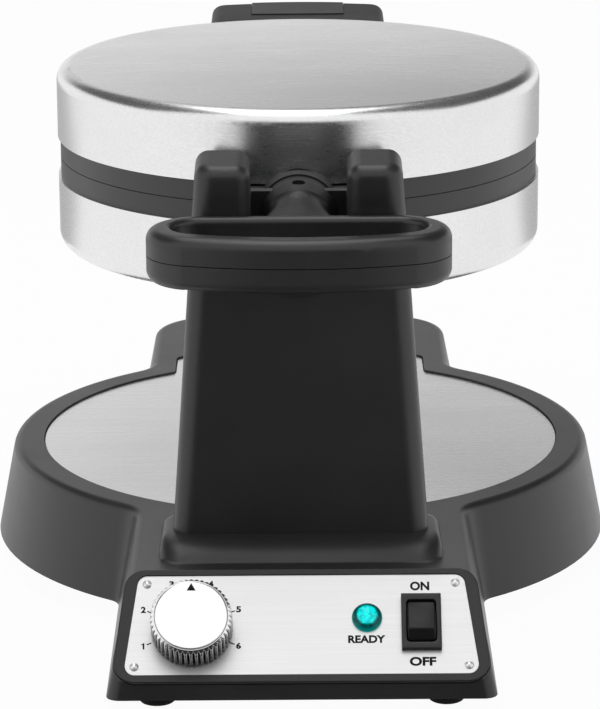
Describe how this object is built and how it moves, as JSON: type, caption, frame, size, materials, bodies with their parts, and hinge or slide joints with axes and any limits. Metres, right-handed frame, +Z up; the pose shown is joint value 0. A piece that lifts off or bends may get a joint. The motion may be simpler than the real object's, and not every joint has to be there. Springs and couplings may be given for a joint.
{
  "type": "rotary belgian waffle maker",
  "caption": "Countertop Belgian waffle maker: a round hinged head turns over on a tower above a round drip base, with a front control panel.",
  "frame": {"origin": "middle of the footprint, on the surface that the feet stand on", "axes": "+X to the right as seen from the control panel, +Y from the control panel to the back, +Z up"},
  "size_m": [0.2446, 0.3926, 0.199],
  "materials": {
    "black_housing": "finely grained black moulding",
    "black_handle": "satin black moulding, smooth to hold",
    "black_band": "satin black phenolic ring",
    "black_switch": "glossy black",
    "brushed_shell": "stainless sheet brushed in one direction",
    "brushed_plate": "brushed stainless sheet",
    "nonstick_grid": "cast aluminium with dark non-stick coating",
    "knob_chrome": "bright fluted ring",
    "knob_face": "pale satin face",
    "lens_turquoise": "clear tinted dome",
    "lamp_glass": "clear",
    "foot_rubber": "matt black",
    "screw_steel": "zinc plated",
    "plain_steel": "plain folded sheet",
    "cast_yoke": "black coated casting",
    "heater_steel": "heat-tinted tube",
    "reflector_aluminium": "bright sheet",
    "thermostat_ceramic": "pale steatite",
    "terminal_brass": "plain",
    "bearing_nylon": "natural nylon"
  },
  "bodies": {
    "base": {"base_housing": "black_housing", "bottom_plate": "black_housing", "drip_plate": "brushed_plate", "rubber_feet": "foot_rubber", "foot_screws": "screw_steel", "cord_inlet": "black_housing", "panel_bezel": "black_housing", "panel_plate": "brushed_plate", "panel_rivets": "screw_steel", "ready_lens": "lens_turquoise", "ready_lamp": "lamp_glass", "thermostat": "thermostat_ceramic", "switch_frame": "black_switch", "switch_terminals": "terminal_brass", "tower_shell": "black_housing", "tower_cover": "black_housing", "tower_frame": "plain_steel", "hub_bearing": "bearing_nylon"},
    "head": {"hub_sleeve": "black_handle", "hub_screw": "screw_steel", "rotary_handle_upper": "black_handle", "rotary_handle_lower": "black_handle", "rotary_handle_screws": "screw_steel", "head_yoke": "cast_yoke", "yoke_screws": "screw_steel", "lower_shell": "brushed_shell", "lower_band": "black_band", "lower_grid": "nonstick_grid", "lower_heater": "heater_steel", "lower_reflector": "reflector_aluminium", "lower_handle": "black_handle", "lower_handle_grip": "black_handle"},
    "hinge_pins_float": {"hinge_pins": "screw_steel"},
    "lid": {"lid_hinge_arms": "cast_yoke", "lid_arm_screws": "screw_steel", "lid_shell": "brushed_shell", "lid_band": "black_band", "lid_grid": "nonstick_grid", "lid_heater": "heater_steel", "lid_reflector": "reflector_aluminium", "lid_handle": "black_handle", "lid_handle_grip": "black_handle"},
    "knob": {"knob_body": "knob_chrome", "knob_cap": "knob_face", "knob_shaft": "terminal_brass"},
    "rocker": {"switch_rocker": "black_switch"}
  },
  "joints": [
    {"name": "head_spin", "type": "hinge", "parent": "base", "child": "head", "pos_m": [0, 0.01, 0.16225], "axis": [0, 1, 0], "range_deg": [0, 180]},
    {"name": "hinge_float", "type": "slide", "parent": "head", "child": "hinge_pins_float", "axis": [0, 0, 1], "range_m": [0, 0.002]},
    {"name": "lid_open", "type": "hinge", "parent": "hinge_pins_float", "child": "lid", "pos_m": [0, -0.089, 0.1765], "axis": [-1, 0, 0], "range_deg": [-95, 0]},
    {"name": "knob_turn", "type": "hinge", "parent": "base", "child": "knob", "pos_m": [-0.039, -0.17801, 0.0297], "axis": [0, -0.7254, 0.6884], "range_deg": [-112.5, 112.5]},
    {"name": "rocker_tilt", "type": "hinge", "parent": "base", "child": "rocker", "pos_m": [0.0427, -0.17604, 0.03032], "axis": [1, 0, 0], "range_deg": [0, 14]}
  ]
}
